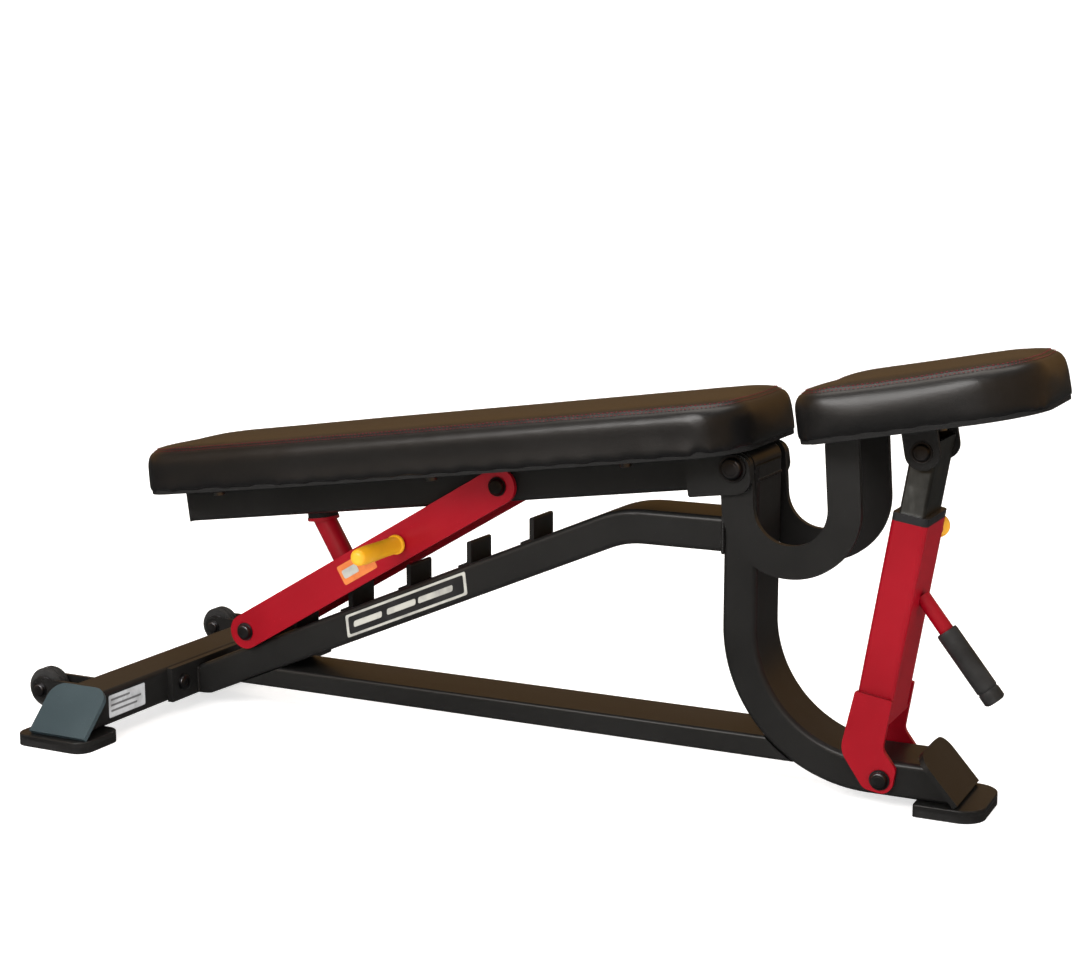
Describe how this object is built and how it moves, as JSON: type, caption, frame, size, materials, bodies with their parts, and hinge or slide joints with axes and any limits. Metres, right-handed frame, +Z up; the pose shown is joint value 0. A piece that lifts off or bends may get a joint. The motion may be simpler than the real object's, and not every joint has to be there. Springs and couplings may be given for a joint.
{
  "type": "adjustable weight bench",
  "caption": "Padded training bench: reclining back rest on a ladder link, tilting seat on a telescopic strut, curved tube frame, transport wheels.",
  "frame": {"origin": "on the floor under the middle of the bench's overall box", "axes": "+X from the head end towards the seat, +Y to the side away from the hand peg, +Z up"},
  "size_m": [1.2295, 0.56, 0.5043],
  "materials": {
    "powder_black": "satin black powder coat",
    "rubber_black": "moulded black rubber",
    "tyre_black": "solid rubber tread",
    "plastic_black": "moulded black plastic",
    "bolt_steel": "zinc-plated steel",
    "zinc_tube": "zinc-plated tube",
    "yellow_plastic": "gloss yellow",
    "powder_red": "gloss red powder coat",
    "plywood": "birch plywood",
    "vinyl_black": "black upholstery vinyl over foam"
  },
  "bodies": {
    "frame": {"upright_tube": "powder_black", "upper_spine_tube": "powder_black", "lower_spine_tube": "powder_black", "spine_flange": "powder_black", "flange_bolts": "bolt_steel", "rear_crossbar": "powder_black", "rear_end_plates": "powder_black", "rear_foot_plates": "powder_black", "rear_foot_rubbers": "rubber_black", "front_end_plate": "powder_black", "front_foot_plate": "powder_black", "front_foot_rubber": "rubber_black", "ladder_catches": "powder_black", "ladder_rest": "rubber_black", "wheel_brackets": "powder_black", "wheel_bolts": "bolt_steel", "hinge_hub": "powder_black", "hinge_bushes": "plastic_black", "hinge_bolt": "bolt_steel", "strut_foot_bolt": "bolt_steel"},
    "wheel_near": {"wheel_hub_near": "plastic_black", "wheel_tyre_near": "tyre_black"},
    "wheel_far": {"wheel_hub_far": "plastic_black", "wheel_tyre_far": "tyre_black"},
    "back": {"back_frame_tube": "powder_black", "back_tube_cap": "plastic_black", "back_yoke": "powder_black", "back_hinge_plates": "powder_black", "back_cross_bars": "powder_black", "back_board": "plywood", "back_cushion": "vinyl_black", "back_pad_screws": "bolt_steel", "link_bolt": "bolt_steel"},
    "link": {"link_plate_near": "powder_red", "link_plate_far": "powder_red", "link_web": "powder_red", "ladder_pin": "bolt_steel", "ladder_roller": "bolt_steel", "bumper_post": "powder_red", "bumper": "rubber_black", "hand_peg": "powder_black", "hand_peg_grip": "yellow_plastic"},
    "seat": {"seat_side_plate_near": "powder_black", "seat_side_plate_far": "powder_black", "seat_mount_plate": "powder_black", "seat_board": "plywood", "seat_cushion": "vinyl_black", "seat_pad_screws": "bolt_steel", "strut_ears": "powder_black", "strut_top_bolt": "bolt_steel"},
    "strut": {"strut_outer_tube": "powder_red", "strut_forks": "powder_red", "strut_collar": "plastic_black", "pull_pin_housing": "bolt_steel", "strut_play_screw": "bolt_steel", "carry_rod": "powder_red", "carry_grip": "rubber_black"},
    "strut_inner": {"strut_inner_tube": "zinc_tube"},
    "pull_pin": {"pull_pin": "bolt_steel", "pull_pin_ball": "yellow_plastic"}
  },
  "joints": [
    {"name": "wheel_near_spin", "type": "hinge", "parent": "frame", "child": "wheel_near", "pos_m": [-0.5898, -0.182, 0.045], "axis": [0, 1, 0], "continuous": true},
    {"name": "wheel_far_spin", "type": "hinge", "parent": "frame", "child": "wheel_far", "pos_m": [-0.5898, 0.182, 0.045], "axis": [0, 1, 0], "continuous": true},
    {"name": "back_recline", "type": "hinge", "parent": "frame", "child": "back", "pos_m": [0.2762, 0, 0.368], "axis": [0, 1, 0], "range_deg": [0, 78]},
    {"name": "link_swing", "type": "hinge", "parent": "back", "child": "link", "pos_m": [-0.02174, 0, 0.32287], "axis": [0, -1, 0], "range_deg": [0, 112]},
    {"name": "seat_tilt", "type": "hinge", "parent": "frame", "child": "seat", "pos_m": [0.2762, 0, 0.368], "axis": [0, -1, 0], "range_deg": [-10, 0]},
    {"name": "strut_swing", "type": "hinge", "parent": "frame", "child": "strut", "pos_m": [0.4442, 0, 0.034], "axis": [0, -1, 0], "range_deg": [-1.5, 0.5]},
    {"name": "strut_slide", "type": "slide", "parent": "strut", "child": "strut_inner", "axis": [0.1599, 0, 0.9871], "range_m": [-0.036, 0.001]},
    {"name": "pull_pin_slide", "type": "slide", "parent": "strut", "child": "pull_pin", "axis": [0, 1, 0], "range_m": [0, 0.01], "stiffness_N_per_m": 400}
  ],
  "couplings": [
    {"joint": "link_swing", "follows": "back_recline", "ratio": 1.43},
    {"joint": "strut_swing", "follows": "seat_tilt", "ratio": 0.137},
    {"joint": "strut_slide", "follows": "seat_tilt", "m_per_rad": 0.202}
  ]
}
